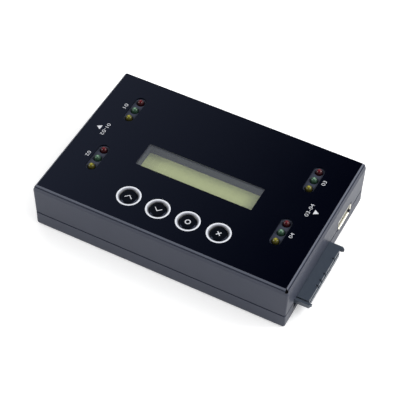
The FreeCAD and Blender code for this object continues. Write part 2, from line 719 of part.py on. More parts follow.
def panel_board():
    length = INNER_L - 2 * BOARD_EDGE_GAP
    width = INNER_W - 2 * BOARD_EDGE_GAP
    z0 = PANEL_BOARD_UNDER
    z1 = PANEL_BOARD_TOP
    board = rounded_block(length, width, 1.0, z0, z1)
    cutters = corner_notches(z0 - 1, z1 + 1)
    cutters.append(rounded_block(
        BEZEL_LENGTH + 2 * CUTOUT_GAP, BEZEL_WIDTH + 2 * CUTOUT_GAP, 1.5,
        z0 - 1, z1 + 1, WINDOW_X, WINDOW_Y,
    ))
    for x, y in panel_boss_points():
        cutters.append(disc(x, y, z0 - 1, z1 + 1, SMALL_HOLE_R))
    for x, y in display_posts():
        cutters.append(disc(x, y, z0 - 1, z1 + 1, PANEL_BOSS_R + 0.3))
    inlet_room = INLET_WIDTH / 2 + CUTOUT_GAP
    inlet_end = HALF_W - INLET_SINK - INLET_DEPTH - CUTOUT_GAP
    cutters.append(block(INLET_X - inlet_room, INLET_X + inlet_room, inlet_end, HALF_W, z0 - 1, z1 + 1))
    for x, y in key_points():
        cutters += switch_pins(x, y, z0 - 1, z1 + 1)
    for x, y in led_points():
        cutters += led_legs(x, y, z0 - 1, z1 + 1)
    return without(board, cutters)


def main_board():
    length = INNER_L - 2 * BOARD_EDGE_GAP
    width = INNER_W - 2 * BOARD_EDGE_GAP
    z0 = MAIN_BOARD_UNDER
    z1 = MAIN_BOARD_TOP
    board = rounded_block(length, width, 1.0, z0, z1)
    cutters = corner_notches(z0 - 1, z1 + 1)
    for x, y in board_post_points():
        cutters.append(disc(x, y, z0 - 1, z1 + 1, SMALL_HOLE_R))
    half = DRIVE_WIDTH / 2 + DRIVE_BOARD_GAP
    notch = block(DRIVE_BACK, HALF_L, DRIVE_Y - half, DRIVE_Y + half, z0 - 1, z1 + 1)
    return without(board, cutters + [notch, turned_round(notch, DRIVE_TURN_Y)])


def board_link():
    """Stacking connector that carries the keys and lamps to the main board."""
    x = -HALF_L + LINK_INSET_X
    y = -HALF_W + LINK_INSET_Y
    return block(
        x, x + LINK_LENGTH, y - LINK_WIDTH / 2, y + LINK_WIDTH / 2, MAIN_BOARD_TOP, PANEL_BOARD_UNDER
    )


def main_chip():
    y = HALF_W - CHIP_INSET
    half = CHIP_SIZE / 2
    return block(
        CHIP_X - half, CHIP_X + half, y - half, y + half, MAIN_BOARD_TOP, MAIN_BOARD_TOP + CHIP_HEIGHT
    )


def supply_capacitor():
    y = HALF_W - CAPACITOR_INSET
    return disc(CAPACITOR_X, y, MAIN_BOARD_TOP, MAIN_BOARD_TOP + CAPACITOR_HEIGHT, CAPACITOR_R)


# ---------------------------------------------------------------- USB socket
def usb_outline(grow):
    half_w = USB_WIDTH / 2 + grow
    low = MAIN_BOARD_TOP - grow
    high = MAIN_BOARD_TOP + USB_HEIGHT + grow
    return half_w, low, high


def usb_lip(width, drop):
    """One flared lip: a bent strip along +X, built about the X axis and leaning out by USB_LIP."""
    profile = [
        V(0, -width / 2, 0), V(0, -width / 2, USB_SHEET),
        V(USB_LIP_LENGTH, -width / 2, USB_SHEET + USB_LIP), V(USB_LIP_LENGTH, -width / 2, USB_LIP),
    ]
    face = Part.Face(Part.makePolygon(profile + [profile[0]]))
    strip = face.extrude(V(0, width, 0))
    strip.translate(V(0, 0, drop))
    return strip


def usb_shell():
    """Folded steel shell with its four flared lips, built facing +X."""
    back = USB_FRONT - USB_DEPTH
    half_w, low, high = usb_outline(0.0)
    in_w, in_low, in_high = usb_outline(-USB_SHEET)
    tube = block(back, USB_FRONT, USB_Y - half_w, USB_Y + half_w, low, high)
    bore = block(back + USB_BACK, USB_FRONT + 1, USB_Y - in_w, USB_Y + in_w, in_low, in_high)
    middle = V(USB_FRONT - USB_LIP_LENGTH, USB_Y, (low + high) / 2)
    lips = []
    for turn in range(4):
        upright = turn % 2 == 1
        reach = half_w if upright else USB_HEIGHT / 2
        across = USB_HEIGHT if upright else USB_WIDTH
        lip = usb_lip(across - 2 * USB_LIP_CORNER, reach - USB_SHEET)
        lip.rotate(V(0, 0, 0), V(1, 0, 0), 90 * turn)
        lip.translate(middle)
        lips.append(lip)
    mouth = block(
        middle.x, USB_FRONT + 1, USB_Y - half_w - 1, USB_Y + half_w + 1, low - 1, high + 1
    )
    return joined([tube.cut(bore).cut(mouth)] + lips)


def usb_tongue():
    """Insulating block at the back of the shell and the tongue that carries the contacts."""
    root_back = USB_FRONT - USB_DEPTH + USB_BACK
    in_w, in_low, in_high = usb_outline(-USB_SHEET)
    root = block(root_back, root_back + USB_ROOT, USB_Y - in_w, USB_Y + in_w, in_low, in_high)
    top = in_high - USB_TONGUE_TOP_GAP
    half = USB_TONGUE_WIDTH / 2
    tongue = block(
        root_back + USB_ROOT, USB_FRONT - USB_TONGUE_SINK, USB_Y - half, USB_Y + half,
        top - USB_TONGUE_THICKNESS, top,
    )
    return joined([root, tongue])


def usb_contacts():
    root_front = USB_FRONT - USB_DEPTH + USB_BACK + USB_ROOT
    high = usb_outline(-USB_SHEET)[2] - USB_TONGUE_TOP_GAP - USB_TONGUE_THICKNESS
    half = USB_CONTACT_WIDTH / 2
    strips = []
    for offset in USB_CONTACT_Y:
        y = USB_Y + offset
        strips.append(block(
            root_front, USB_FRONT - USB_TONGUE_SINK - 1.0, y - half, y + half,
            high - USB_CONTACT_THICKNESS, high,
        ))
    return Part.makeCompound(strips)


# ---------------------------------------------------------------- drive socket
def drive_slots():
    """Spans in Y of the signal slot and the power slot: (low end, high end) of each."""
    signal_high = DRIVE_Y + DRIVE_CORE / 2 - SLOT_END_WALL
    signal_low = signal_high - SIGNAL_SLOT
    power_high = signal_low - SLOT_WEB
    return [(signal_low, signal_high), (power_high - POWER_SLOT, power_high)]


def contact_rows():
    """Y of every contact: the signal ways, then the power ways."""
    rows = []
    for (low, high), count in zip(drive_slots(), (SIGNAL_COUNT, POWER_COUNT)):
        for i in range(count):
            rows.append(high - CONTACT_FROM_END - i * CONTACT_PITCH)
    return rows


def guide_arm(side):
    """One guide arm with a tapered tip, and the web that ties it to the body inside the wall."""
    y_out = DRIVE_Y + side * DRIVE_WIDTH / 2
    y_in = y_out - side * ARM_THICKNESS
    y_core = DRIVE_Y + side * DRIVE_CORE / 2
    tip = DRIVE_FRONT + ARM_REACH
    outline = [
        (DRIVE_BACK, y_out), (tip - ARM_TAPER, y_out), (tip, y_out - side * ARM_TAPER),
        (tip, y_in), (DRIVE_BACK, y_in),
    ]
    under = DRIVE_TOP - ARM_HEIGHT
    arm = extruded_xy(outline, under, DRIVE_TOP)
    bevel = [(tip - ARM_TAPER, under), (tip + 0.1, under), (tip + 0.1, under + ARM_BEVEL)]
    arm = arm.cut(extruded_xz(bevel, min(y_in, y_out) - 1, max(y_in, y_out) + 1))
    ys = sorted((y_out, y_core))
    web = block(DRIVE_BACK, DRIVE_BACK + ARM_WEB, ys[0], ys[1], DRIVE_LOW, DRIVE_TOP)
    return joined([arm, web])


def drive_housing():
    """Moulded 22-way receptacle with guide arms and L-keyed slots, built facing +X."""
    half = DRIVE_CORE / 2
    core = block(DRIVE_BACK, DRIVE_FRONT, DRIVE_Y - half, DRIVE_Y + half, DRIVE_LOW, DRIVE_TOP)
    cover = block(
        DRIVE_BACK, DRIVE_FRONT, DRIVE_Y + half, DRIVE_Y + half + ARM_GAP,
        DRIVE_TOP - ARM_COVER, DRIVE_TOP,
    )
    housing = joined([core, guide_arm(1), guide_arm(-1), cover])
    cutters = []
    inner = DRIVE_FRONT - SLOT_DEPTH
    outer = DRIVE_FRONT + 1
    for low, high in drive_slots():
        cutters.append(block(inner, outer, low, high, SLOT_LOW, SLOT_HIGH))
        cutters.append(block(inner, outer, low, low + SLOT_KEY_WIDTH, SLOT_LOW - SLOT_KEY_DROP, SLOT_HIGH))
    for offset in DRIVE_NOTCHES:
        y = DRIVE_Y + offset
        cutters.append(block(
            DRIVE_FRONT - DRIVE_NOTCH_DEPTH, outer, y - DRIVE_NOTCH_WIDTH / 2, y + DRIVE_NOTCH_WIDTH / 2,
            DRIVE_TOP - DRIVE_NOTCH_DROP, DRIVE_TOP + 1,
        ))
    for y in contact_rows():
        cutters.append(block(
            DRIVE_BACK - 1, DRIVE_FRONT - CONTACT_SINK, y - CONTACT_WIDTH / 2, y + CONTACT_WIDTH / 2,
            CONTACT_LOW - CONTACT_GAP, CONTACT_LOW + CONTACT_THICKNESS + CONTACT_GAP,
        ))
    return without(housing, cutters)


def drive_contacts():
    """Contacts lying in the housing's channels, folded down behind it to tails on the board."""
    contacts = []
    bend = DRIVE_BACK - CONTACT_THICKNESS
    for y in contact_rows():
        y0 = y - CONTACT_WIDTH / 2
        y1 = y + CONTACT_WIDTH / 2
        high = CONTACT_LOW + CONTACT_THICKNESS
        blade = block(bend - CONTACT_THICKNESS, DRIVE_FRONT - CONTACT_SINK, y0, y1, CONTACT_LOW, high)
        drop = block(bend - CONTACT_THICKNESS, bend, y0, y1, MAIN_BOARD_TOP, high)
        tail = block(bend - TAIL_LENGTH, bend, y0, y1, MAIN_BOARD_TOP, MAIN_BOARD_TOP + CONTACT_THICKNESS)
        contacts.append(joined([blade, drop, tail]))
    return Part.makeCompound(contacts)


# ---------------------------------------------------------------- power inlet
def inlet_housing():
    face_y = HALF_W - INLET_SINK
    axis_z = MAIN_BOARD_TOP + INLET_AXIS_UP
    body = block(
        INLET_X - INLET_WIDTH / 2, INLET_X + INLET_WIDTH / 2, face_y - INLET_DEPTH, face_y,
        MAIN_BOARD_TOP, MAIN_BOARD_TOP + INLET_HEIGHT,
    )
    mouth = V(INLET_X, face_y - INLET_BORE_DEPTH, axis_z)
    bore = Part.makeCylinder(INLET_BORE_R, INLET_BORE_DEPTH + 1, mouth, V(0, 1, 0))
    seat = V(INLET_X, face_y - INLET_DEPTH + INLET_BACK_WALL, axis_z)
    pin_hole = Part.makeCylinder(INLET_PIN_R, INLET_DEPTH, seat, V(0, 1, 0))
    return without(body, [bore, pin_hole])


def inlet_pin():
    face_y = HALF_W - INLET_SINK
    axis_z = MAIN_BOARD_TOP + INLET_AXIS_UP
    seat = V(INLET_X, face_y - INLET_DEPTH + INLET_BACK_WALL, axis_z)
    length = INLET_DEPTH - INLET_BACK_WALL - INLET_PIN_SINK
    return Part.makeCylinder(INLET_PIN_R, length, seat, V(0, 1, 0))


# ---------------------------------------------------------------- fixings
def screw(x, y, seat, length, sizes):
    """Screw driven upwards: pan head under its seat, shank above it."""
    head_r, head_height, shank_r = sizes
    low = seat - head_height
    tip = seat + length
    profile = [
        (0, low + 0.5), (head_r * 0.4, low + 0.5), (head_r * 0.5, low),
        (head_r - 0.25, low), (head_r, low + 0.25), (head_r, seat),
        (shank_r, seat), (shank_r, tip - 0.5), (0.3, tip), (0, tip),
    ]
    return turned(profile, x, y)


def case_screws():
    return Part.makeCompound([
        screw(x, y, SCREW_SEAT, SCREW_LENGTH, CASE_SCREW) for x, y in four_corners(BOSS_X, BOSS_Y)
    ])


def panel_board_screws():
    return Part.makeCompound([
        screw(x, y, PANEL_BOARD_UNDER, PANEL_SCREW_LENGTH, SMALL_SCREW) for x, y in panel_boss_points()
    ])


def display_screws():
    return Part.makeCompound([
        screw(x, y, DISPLAY_BOARD_UNDER, DISPLAY_SCREW_LENGTH, SMALL_SCREW) for x, y in display_posts()
    ])


def main_board_screws():
    """These go down into the lower shell's posts."""
    screws = []
    for x, y in board_post_points():
        upward = screw(x, y, -MAIN_BOARD_TOP, MAIN_SCREW_LENGTH, SMALL_SCREW)
        screws.append(upward.mirror(V(0, 0, 0), V(0, 0, 1)))
    return Part.makeCompound(screws)


def rubber_feet():
    profile = [(0, 0), (FOOT_R - 0.4, 0), (FOOT_R, 0.3), (FOOT_R, FOOT_THICKNESS), (0, FOOT_THICKNESS)]
    return Part.makeCompound([turned(profile, x, y) for x, y in foot_points()])


# ---------------------------------------------------------------- build
save("upper_shell", upper_shell())
save("lower_shell", lower_shell())
save("front_panel", front_panel())
save("window_pane", window_pane())
save("rubber_feet", rubber_feet())
save("case_screws", case_screws())

for key_name, point in zip(KEY_NAMES, key_points()):
    save(key_name + "_key_ring", key_ring(*point))
    save(key_name + "_key", key_cap(*point))
    save(key_name + "_key_plunger", key_plunger(*point))
    save(key_name + "_key_switch", key_switch(*point))

for group_name, centre in LIGHT_GROUPS.items():
    for colour, step in zip(LED_COLOURS, (1, 0, -1)):
        save(group_name + "_" + colour + "_led", led(centre[0], centre[1] + step * LIGHT_PITCH))

save("display_bezel", display_bezel())
save("display_glass", display_glass())
save("display_backlight", display_backlight())
save("display_board", display_board())
save("display_header", display_header())
save("display_screws", display_screws())

save("panel_board", panel_board())
save("panel_board_screws", panel_board_screws())
save("main_board", main_board())
save("main_board_screws", main_board_screws())
save("board_link", board_link())
save("main_chip", main_chip())
save("supply_capacitor", supply_capacitor())

save("target_usb_shell", usb_shell())
save("target_usb_tongue", usb_tongue())
save("target_usb_contacts", usb_contacts())
save("source_usb_shell", turned_round(usb_shell(), USB_Y))
save("source_usb_tongue", turned_round(usb_tongue(), USB_Y))
save("source_usb_contacts", turned_round(usb_contacts(), USB_Y))

save("target_drive_socket", drive_housing())
save("target_drive_contacts", drive_contacts())
save("source_drive_socket", turned_round(drive_housing(), DRIVE_TURN_Y))
save("source_drive_contacts", turned_round(drive_contacts(), DRIVE_TURN_Y))

save("power_inlet", inlet_housing())
save("power_inlet_pin", inlet_pin())
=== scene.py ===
# %% [markdown]
# # A stand-alone drive duplicator
# The object is a flat two-part moulded box with a glossy black panel. A character
# display, four round keys and four groups of status lights look out through the
# panel. The solids come from CAD, already in place and at real size, so this lesson
# is about finish: what each surface is made of, and the print and small metalwork
# that CAD leaves out.

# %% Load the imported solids
import json
import math

import bmesh
import bpy
import numpy as np
from mathutils import Matrix, Vector


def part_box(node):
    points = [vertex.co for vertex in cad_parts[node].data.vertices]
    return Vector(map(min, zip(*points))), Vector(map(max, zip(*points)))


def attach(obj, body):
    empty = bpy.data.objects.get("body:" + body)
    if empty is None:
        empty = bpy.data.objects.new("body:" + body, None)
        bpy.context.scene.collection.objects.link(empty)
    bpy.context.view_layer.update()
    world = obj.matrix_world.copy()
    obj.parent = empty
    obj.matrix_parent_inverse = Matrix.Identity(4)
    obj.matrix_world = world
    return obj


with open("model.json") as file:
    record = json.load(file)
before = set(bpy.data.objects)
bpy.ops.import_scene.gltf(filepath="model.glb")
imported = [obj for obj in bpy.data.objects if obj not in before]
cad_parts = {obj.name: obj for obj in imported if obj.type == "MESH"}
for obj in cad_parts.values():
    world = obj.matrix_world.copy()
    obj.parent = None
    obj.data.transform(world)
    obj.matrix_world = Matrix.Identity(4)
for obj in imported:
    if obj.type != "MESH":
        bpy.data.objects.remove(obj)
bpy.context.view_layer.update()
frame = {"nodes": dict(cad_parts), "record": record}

MM = 0.001

# %% [markdown]
# ## Landmarks
# Print and lamps line up with the moulded parts, so their places are read from the
# solids. If the case grows, the print moves with it.

# %% Landmarks from the solids
panel_low, panel_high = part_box("front_panel")
PANEL_FACE = panel_high.z
PANEL_HALF = (panel_high - panel_low) / 2


def middle(node):
    """Centre of a node's box: half the sum of its lowest and its highest corner."""
    low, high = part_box(node)
    return (low + high) / 2


print("panel face at", round(PANEL_FACE / MM, 2), "mm")

# %% [markdown]
# ## Camera
# A product shot from the front right, well above the table, with a long lens so that
# the box keeps its straight edges. The camera is placed by azimuth, elevation and
# distance from a point on the table, which is easier to read than a location.

# %% Camera
CAMERA_AIM = Vector((-3.291, 5.892, 0.0)) * MM
CAMERA_AZIMUTH = math.radians(26.797)
CAMERA_ELEVATION = math.radians(49.100)
CAMERA_ROLL = math.radians(1.192)
CAMERA_DISTANCE = 646.42 * MM
CAMERA_LENS = 126.7          # mm on a 36 mm sensor
CAMERA_CLIP = (0.05, 20.0)   # m, nearest and farthest distance that it sees


def direction(azimuth, elevation):
    """Unit vector: azimuth 0 points along -Y and 90 degrees along +X."""
    flat = math.cos(elevation)
    return Vector((math.sin(azimuth) * flat, -math.cos(azimuth) * flat, math.sin(elevation)))


def make_camera():
    """Camera at aim + distance times direction, looking back at the aim, then rolled."""
    data = bpy.data.cameras.new("camera")
    data.lens = CAMERA_LENS
    data.clip_start, data.clip_end = CAMERA_CLIP
    camera = bpy.data.objects.new("camera", data)
    bpy.context.scene.collection.objects.link(camera)
    back = direction(CAMERA_AZIMUTH, CAMERA_ELEVATION)
    turn = (-back).to_track_quat("-Z", "Y").to_matrix() @ Matrix.Rotation(CAMERA_ROLL, 3, "Z")
    place = CAMERA_AIM + back * CAMERA_DISTANCE
    camera.matrix_world = Matrix.Translation(place) @ turn.to_4x4()
    bpy.context.scene.camera = camera
    return camera


camera = make_camera()
bpy.context.scene.view_settings.view_transform = "Standard"
print("camera at", [round(c, 4) for c in camera.matrix_world.translation])

# %% [markdown]
# ## Helpers for materials
# Colours are easiest to name as sRGB hex, as a paint chart gives them, but a shader
# works in linear light. One function turns the first into the second. Another adds a
# shader node with its settings and its incoming links in a single call, so a material
# reads like a recipe. Two short recipes come back in most finishes: fine relief, and a
# slow change of shade or gloss, because no real surface is quite even.

# %% Colours and nodes
def linear(hex_colour):
    """sRGB hex to linear: c / 12.92 up to 0.04045, else ((c + 0.055) / 1.055) ** 2.4."""
    parts = [int(hex_colour[i:i + 2], 16) / 255 for i in (1, 3, 5)]
    return [c / 12.92 if c <= 0.04045 else ((c + 0.055) / 1.055) ** 2.4 for c in parts] + [1.0]


def add_node(tree, kind, settings=None, links=None):
    """One node: settings fill sockets or properties, links feed sockets from outputs."""
    node = tree.nodes.new("ShaderNode" + kind)
    for key, value in (settings or {}).items():
        if isinstance(key, int) or key in node.inputs:
            node.inputs[key].default_value = value
        else:
            setattr(node, key, value)
    for key, source in (links or {}).items():
        tree.links.new(source, node.inputs[key])
    return node


def finish_of(name, hex_colour, roughness, sockets=None):
    """A material with one Principled shader, and its tree, shader and object coordinates."""
    material = bpy.data.materials.new(name)
    material.use_nodes = True
    tree = material.node_tree
    shader = tree.nodes["Principled BSDF"]
    shader.inputs["Base Color"].default_value = linear(hex_colour)
    shader.inputs["Roughness"].default_value = roughness
    for key, value in (sockets or {}).items():
        shader.inputs[key].default_value = value
    place = add_node(tree, "TexCoord").outputs["Object"]
    return material, tree, shader, place


print("white paper in linear light:", [round(c, 3) for c in linear("#F4F4F4")])


# %% Relief and slow changes
def per_mm(size):
    """Noise scale for grains of a size in mm: 1 / size, with the size in metres."""
    return 1.0 / (size * MM)


def grain(tree, shader, place, size, height):
    """Fine relief: noise with grains of size mm, raised by height mm, into Normal."""
    noise = add_node(tree, "TexNoise", {"Scale": per_mm(size), "Detail": 3.0}, {"Vector": place})
    bump = add_node(tree, "Bump", {"Strength": 1.0, "Distance": height * MM},
                    {"Height": noise.outputs[0]})
    tree.links.new(bump.outputs["Normal"], shader.inputs["Normal"])


def vary(tree, shader, place, socket, size, low, high):
    """Slow change of a socket, a colour or a number, from low to high over patches of size mm."""
    noise = add_node(tree, "TexNoise", {"Scale": per_mm(size), "Detail": 2.0}, {"Vector": place})
    if isinstance(low, str):
        mix = add_node(tree, "Mix", {"data_type": "RGBA", 6: linear(low), 7: linear(high)},
                       {0: noise.outputs[0]})
        tree.links.new(mix.outputs[2], shader.inputs[socket])
    else:
        ranged = add_node(tree, "MapRange", {"To Min": low, "To Max": high},
                          {"Value": noise.outputs[0]})
        tree.links.new(ranged.outputs[0], shader.inputs[socket])


print("noise scale for 0.4 mm grain:", per_mm(0.4), "in a metre")

# %% [markdown]
# ## Stage and light
# A white table, and air that shows as white behind it. The light itself is ordinary:
# soft boxes at the back right, the right and the front left, and a dim surround. The
# white behind the object is there for the lens, for mirror-like surfaces and for what
# shows through clear ones. Matt surfaces get no light from it, so the table still takes
# a soft shadow. The Light Path node tells these kinds of ray apart.

# %% Floor
FLOOR_HALF = 3.0             # m, half the side of the square
FLOOR_DROP = 0.01 * MM       # just under the feet, so that the two faces don't flicker
FLOOR_NEAR = 0.07            # m from the middle; inside it the glow keeps its near strength
FLOOR_FAR = 0.16             # m from the middle; outside it the glow is white
GLOW_NEAR = 0.31             # what the soft boxes add makes this white too, but for the shadow
GLOW_FAR = 1.0


def ray_kinds(tree):
    """Two outputs, 1 or 0: is this the lens's ray, and is it a mirrored or a refracted one."""
    path = add_node(tree, "LightPath").outputs
    sharp = add_node(tree, "Math", {"operation": "MAXIMUM"},
                     {0: path["Is Glossy Ray"], 1: path["Is Transmission Ray"]})
    return path["Is Camera Ray"], sharp.outputs[0]


def make_floor():
    """White square whose glow, for seen rays, rises in a straight line from near to far."""
    corners = [(x * FLOOR_HALF, y * FLOOR_HALF, -FLOOR_DROP)
               for x, y in ((-1, -1), (1, -1), (1, 1), (-1, 1))]
    mesh = bpy.data.meshes.new("floor")
    mesh.from_pydata(corners, [], [(0, 1, 2, 3)])
    floor = bpy.data.objects.new("floor", mesh)
    bpy.context.scene.collection.objects.link(floor)
    material, tree, shader, place = finish_of("white_table_paper", "#F2F2F2", 0.9)
    lens, sharp = ray_kinds(tree)
    seen = add_node(tree, "Math", {"operation": "MAXIMUM"}, {0: lens, 1: sharp})
    away = add_node(tree, "VectorMath", {"operation": "LENGTH"}, {0: place})
    lift = add_node(tree, "MapRange", {"From Min": FLOOR_NEAR, "From Max": FLOOR_FAR,
                                       "To Min": GLOW_NEAR, "To Max": GLOW_FAR},
                    {"Value": away.outputs["Value"]})
    strength = add_node(tree, "Math", {"operation": "MULTIPLY"},
                        {0: seen.outputs[0], 1: lift.outputs[0]})
    glow = add_node(tree, "Emission", {"Color": (1, 1, 1, 1)}, {"Strength": strength.outputs[0]})
    both = add_node(tree, "AddShader", links={0: shader.outputs[0], 1: glow.outputs[0]})
    tree.links.new(both.outputs[0], tree.nodes["Material Output"].inputs["Surface"])
    mesh.materials.append(material)


make_floor()
print("floor side:", 2 * FLOOR_HALF, "m")

# %% [markdown]
# ## Surround and soft boxes
# The black panel is a mirror, so what hangs over the table decides how it looks. Above
# the horizon the mirrored surround turns dark, as under a studio ceiling, and a faint
# glow high on the left gives the panel's reflection a slope from left to right. Matt
# surfaces are lit by the soft boxes and by an even, dim surround.

# %% Surround and soft boxes
SURROUND = 0.60              # strength of the dim surround
CEILING = 0.01               # what mirrors see overhead
HORIZON = (0.12, 0.34)       # sine of the elevation over which white turns to the ceiling
GLOW_WAY = (-0.95, 0.31, 0.0)    # the faint glow lies this way, on the left
GLOW_SIDE = (0.40, 0.64)     # it starts and is full at these cosines from that way
GLOW_TALL = (0.46, 0.64)     # and at these sines of the elevation
GLOW_HIGH = 0.62             # its full strength
LAMPS = (                    # name, azimuth, elevation, distance m, width m, watts
    ("soft_box_back_right", 123, 41, 1.00, 0.42, 4.6),
    ("soft_box_front_left", -61, 31, 1.00, 0.36, 3.6),
    ("soft_box_right", 92, 40, 1.00, 0.60, 2.8),
)


def make_world():
    """White for the lens; for mirrors, white at the horizon and dark above; dim for light.

    The glow is the product of two straight rises: to its side, and with elevation.
    """
    world = bpy.data.worlds.new("studio")
    world.use_nodes = True
    tree = world.node_tree
    background = tree.nodes["Background"]
    lens, sharp = ray_kinds(tree)
    way = add_node(tree, "TexCoord").outputs["Generated"]
    height = add_node(tree, "SeparateXYZ", links={0: way}).outputs["Z"]
    horizon = add_node(tree, "MapRange", {"From Min": HORIZON[0], "From Max": HORIZON[1],
                                          "To Min": 1.0, "To Max": CEILING}, {"Value": height})
    side = add_node(tree, "VectorMath", {"operation": "DOT_PRODUCT", 1: GLOW_WAY}, {0: way})
    sideways = add_node(tree, "MapRange", {"From Min": GLOW_SIDE[0], "From Max": GLOW_SIDE[1],
                                           "To Min": 0.0, "To Max": GLOW_HIGH},
                        {"Value": side.outputs["Value"]})
    upwards = add_node(tree, "MapRange", {"From Min": GLOW_TALL[0], "From Max": GLOW_TALL[1],
                                          "To Min": 0.0, "To Max": 1.0}, {"Value": height})
    glow = add_node(tree, "Math", {"operation": "MULTIPLY"},
                    {0: sideways.outputs[0], 1: upwards.outputs[0]})
    mirrored = add_node(tree, "Math", {"operation": "MAXIMUM"},
                        {0: horizon.outputs[0], 1: glow.outputs[0]})
    dim = add_node(tree, "Mix", {2: SURROUND}, {0: sharp, 3: mirrored.outputs[0]})
    level = add_node(tree, "Mix", {3: 1.0}, {0: lens, 2: dim.outputs[0]})
    tree.links.new(level.outputs[0], background.inputs["Strength"])
    background.inputs["Color"].default_value = (1, 1, 1, 1)
    bpy.context.scene.world = world


def make_lamp(name, azimuth, elevation, distance, width, watts):
    """A square soft box that faces the middle of the object."""
    data = bpy.data.lights.new(name, "AREA")
    data.shape = "SQUARE"
    data.size = width
    data.energy = watts
    lamp = bpy.data.objects.new(name, data)
    way = direction(math.radians(azimuth), math.radians(elevation))
    lamp.matrix_world = (Matrix.Translation(way * distance)
                         @ (-way).to_track_quat("-Z", "Y").to_matrix().to_4x4())
    bpy.context.scene.collection.objects.link(lamp)


make_world()
for lamp_facts in LAMPS:
    make_lamp(*lamp_facts)
print("lamps:", ", ".join(facts[0] for facts in LAMPS))

# %% [markdown]
# ## Moulded case
# The shells are ABS, moulded in a spark-eroded tool. That leaves an even matt grain of
# a few tenths of a millimetre, which breaks every highlight into a soft sheen. Noise
# through a Bump node gives the grain; a second, slower noise shifts the grey by a shade,
# as regrind and wall thickness do in a real moulding. Two more things are painted by
# place: a paler line along the top edge, a painted highlight where that edge catches the
# light, and painted shade in the small release notch in the front right corner.

# %% Moulded case
EDGE_HIGHLIGHT_FROM = 0.75 * MM      # below the shell's top: the painted highlight along the edge starts here
EDGE_HIGHLIGHT_FULL = 0.60 * MM      # and is at full strength from here up
NOTCH_SHADE_TO = 1.60 * MM       # from the shell's top corner along each axis: painted shade, near black, up to here
NOTCH_CLEAR = 1.75 * MM      # and case grey again from here


def moulded_abs():
    """Matt ABS: grain 0.4 mm wide, painted highlight on the top edge, painted shade in the notch.

    The edge highlight is a straight rise over height. The notch shade fills a box round
    the corner, where the largest of the three distances from it, along X, Y and Z, is small.
    """
    material, tree, shader, place = finish_of("abs_spark_textured_grey", "#383C49", 0.38,
                                              {"IOR": 1.54, "Specular IOR Level": 0.17})
    noise = add_node(tree, "TexNoise", {"Scale": per_mm(9.0), "Detail": 2.0}, {"Vector": place})
    shades = add_node(tree, "Mix", {"data_type": "RGBA", 6: linear("#363A47"),
                                    7: linear("#3B3F4C")}, {0: noise.outputs[0]})
    low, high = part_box("upper_shell")
    level = add_node(tree, "SeparateXYZ", links={0: place}).outputs["Z"]
    edge = add_node(tree, "MapRange", {"From Min": high.z - EDGE_HIGHLIGHT_FROM,
                                       "From Max": high.z - EDGE_HIGHLIGHT_FULL,
                                       "To Min": 0.0, "To Max": 1.0}, {"Value": level})
    # painted highlight: the top edge is paler, where it catches the light
    shades = add_node(tree, "Mix", {"data_type": "RGBA", 7: linear("#585C68")},
                      {0: edge.outputs[0], 6: shades.outputs[2]})
    corner = add_node(tree, "VectorMath", {"operation": "SUBTRACT", 1: (high.x, low.y, high.z)},
                      {0: place})
    apart = add_node(tree, "VectorMath", {"operation": "ABSOLUTE"}, {0: corner.outputs[0]})
    parts = add_node(tree, "SeparateXYZ", links={0: apart.outputs[0]}).outputs
    widest = add_node(tree, "Math", {"operation": "MAXIMUM"}, {0: parts["X"], 1: parts["Y"]})
    widest = add_node(tree, "Math", {"operation": "MAXIMUM"},
                      {0: widest.outputs[0], 1: parts["Z"]})
    inside = add_node(tree, "MapRange", {"From Min": NOTCH_SHADE_TO, "From Max": NOTCH_CLEAR,
                                         "To Min": 1.0, "To Max": 0.0},
                      {"Value": widest.outputs[0]})
    # painted shade: the release notch is near black inside
    colour = add_node(tree, "Mix", {"data_type": "RGBA", 7: linear("#050507")},
                      {0: inside.outputs[0], 6: shades.outputs[2]})
    tree.links.new(colour.outputs[2], shader.inputs["Base Color"])
    vary(tree, shader, place, "Roughness", 6.0, 0.35, 0.42)
    grain(tree, shader, place, 0.4, 0.02)
    return material


FINISHES = {"case_plastic": moulded_abs()}
print("case grey in linear light:", [round(c, 3) for c in linear("#383C49")])

# %% [markdown]
# ## Keys, feet and small mouldings
# The key caps are polished black ABS. Their shine is weak and cool, so that they read
# as black beside the bright rings. Silicone rubber is never quite black, because fine
# dust sticks to it, and pale patches of noise stand for that bloom. The small parts
# differ only in shade and gloss, so one recipe with two close shades serves them all.

# %% Keys, feet and small mouldings
def plain_moulding(name, low, high, roughness, size=1.2, height=0.01):
    """Small moulding or painted part: two close shades of one colour and a faint relief."""
    material, tree, shader, place = finish_of(name, low, roughness, {"IOR": 1.5})
    vary(tree, shader, place, "Base Color", 3.0, low, high)
    grain(tree, shader, place, size, height)
    return material


def key_moulding():
    """Black ABS with a weak, blurred shine of a cold cast and patches of a little more gloss."""
    material, tree, shader, place = finish_of("abs_key_black", "#03050B", 0.3, {
        "IOR": 1.5, "Specular IOR Level": 0.28, "Specular Tint": linear("#C4D2FF")})
    vary(tree, shader, place, "Base Color", 3.0, "#02040A", "#04060D")
    vary(tree, shader, place, "Roughness", 2.0, 0.26, 0.34)
    grain(tree, shader, place, 1.2, 0.004)
    return material


def silicone_rubber():
    """Black rubber, rough 0.8, with the dusty bloom that pale noise patches give."""
    material, tree, shader, place = finish_of("black_silicone_rubber", "#101113", 0.8,
                                              {"IOR": 1.42})
    vary(tree, shader, place, "Base Color", 1.5, "#0D0E10", "#1B1C1E")
    grain(tree, shader, place, 0.3, 0.02)
    return material


